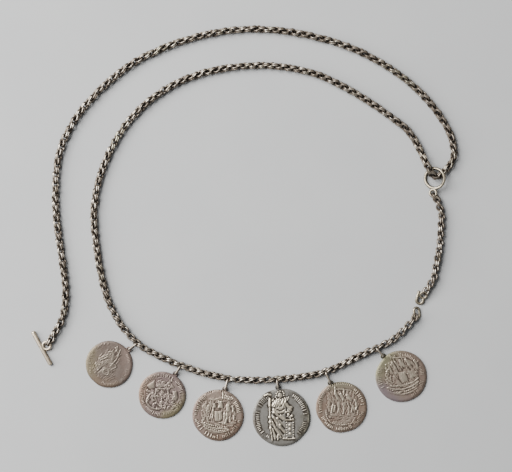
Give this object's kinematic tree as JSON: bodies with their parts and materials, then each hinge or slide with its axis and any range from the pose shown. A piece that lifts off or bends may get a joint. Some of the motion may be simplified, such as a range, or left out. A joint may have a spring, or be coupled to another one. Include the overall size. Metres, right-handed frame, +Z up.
{
  "type": "coin necklace",
  "caption": "Silver necklace of double cable chain laid out flat, threaded through a ring, with a toggle bar, a hook and end ring, and old coins hung on jump rings.",
  "frame": {"origin": "middle of the necklace's box as it lies laid out, on the surface that it lies on", "axes": "+Z up from that surface, +Y away from the wearer of the coins towards the back of the neck, +X to the side of the ring"},
  "size_m": [0.2342, 0.2314, 0.0072],
  "materials": {
    "chain_silver": "polished silver wire, blackened where the links cross",
    "fitting_silver": "polished silver wire",
    "coin_silver": "worn struck silver, toned brown, green and rose, dark in the recesses"
  },
  "bodies": {
    "root": {"chain_outer": "chain_silver", "chain_inner": "chain_silver", "chain_short": "chain_silver", "ring": "fitting_silver", "toggle_bar": "fitting_silver", "hook": "fitting_silver", "end_ring": "fitting_silver", "coin_1": "coin_silver", "coin_2": "coin_silver", "coin_3": "coin_silver", "coin_4": "coin_silver", "coin_5": "coin_silver", "coin_6": "coin_silver", "jump_ring_1": "fitting_silver", "jump_ring_2": "fitting_silver", "jump_ring_3": "fitting_silver", "jump_ring_4": "fitting_silver", "jump_ring_5": "fitting_silver", "jump_ring_6": "fitting_silver"}
  },
  "joints": []
}
